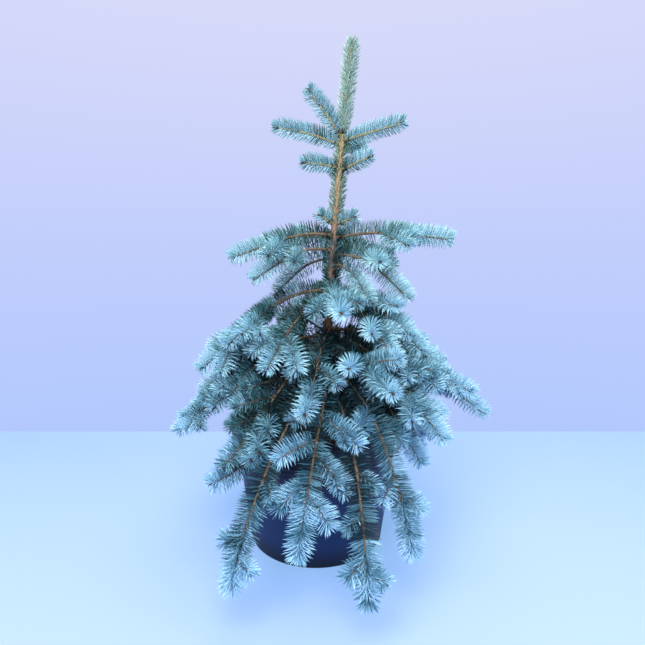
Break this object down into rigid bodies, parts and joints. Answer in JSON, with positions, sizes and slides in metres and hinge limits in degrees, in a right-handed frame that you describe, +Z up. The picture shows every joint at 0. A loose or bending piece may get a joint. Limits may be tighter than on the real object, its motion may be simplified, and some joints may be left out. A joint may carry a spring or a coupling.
{
  "type": "potted blue spruce",
  "caption": "Young blue spruce in a squat round nursery pot, with a leader above bare-stemmed whorls and needled boughs that spread and hang over the rim.",
  "frame": {"origin": "centre of the pot's flat underside", "axes": "+Z up along the tree, +X towards the side that shows on the right in a front view, -Y towards the front"},
  "size_m": [0.5263, 0.5154, 0.7929],
  "materials": {
    "pot": "black moulded plastic with a soft sheen",
    "soil": "dark moist peat with bark chips",
    "bark": "orange to grey brown bark with peg-like leaf scars",
    "needles": "waxy blue to blue-green needles with a pale bloom"
  },
  "bodies": {
    "root": {"pot": "pot", "soil": "soil", "trunk": "bark", "bough_lower_back_left": "bark", "bough_lower_left": "bark", "bough_lower_right": "bark", "bough_middle_back": "bark", "bough_middle_back_right": "bark", "bough_middle_left": "bark", "bough_middle_left_low": "bark", "bough_middle_right": "bark", "bough_skirt_front_left": "bark", "bough_skirt_front_right": "bark", "bough_upper_left": "bark", "bough_upper_left_low": "bark", "bough_upper_right": "bark", "bough_upper_right_low": "bark", "foliage_leader": "needles", "foliage_lower_back": "needles", "foliage_lower_back_left": "needles", "foliage_lower_back_right": "needles", "foliage_lower_front": "needles", "foliage_lower_front_left": "needles", "foliage_lower_front_right": "needles", "foliage_lower_left": "needles", "foliage_lower_right": "needles", "foliage_lower_right_front": "needles", "foliage_middle_back": "needles", "foliage_middle_back_right": "needles", "foliage_middle_front": "needles", "foliage_middle_front_left": "needles", "foliage_middle_front_right": "needles", "foliage_middle_left": "needles", "foliage_middle_left_low": "needles", "foliage_middle_right": "needles", "foliage_skirt_back": "needles", "foliage_skirt_back_left": "needles", "foliage_skirt_back_right": "needles", "foliage_skirt_front": "needles", "foliage_skirt_front_left": "needles", "foliage_skirt_front_right": "needles", "foliage_skirt_left": "needles", "foliage_skirt_left_back": "needles", "foliage_skirt_right": "needles", "foliage_skirt_right_front": "needles", "foliage_top_back": "needles", "foliage_top_left": "needles", "foliage_top_left_rising": "needles", "foliage_top_right": "needles", "foliage_upper_back": "needles", "foliage_upper_back_left": "needles", "foliage_upper_back_right": "needles", "foliage_upper_front": "needles", "foliage_upper_left": "needles", "foliage_upper_left_inner": "needles", "foliage_upper_left_low": "needles", "foliage_upper_right": "needles", "foliage_upper_right_low": "needles", "foliage_upper_trunk": "needles"}
  },
  "joints": []
}
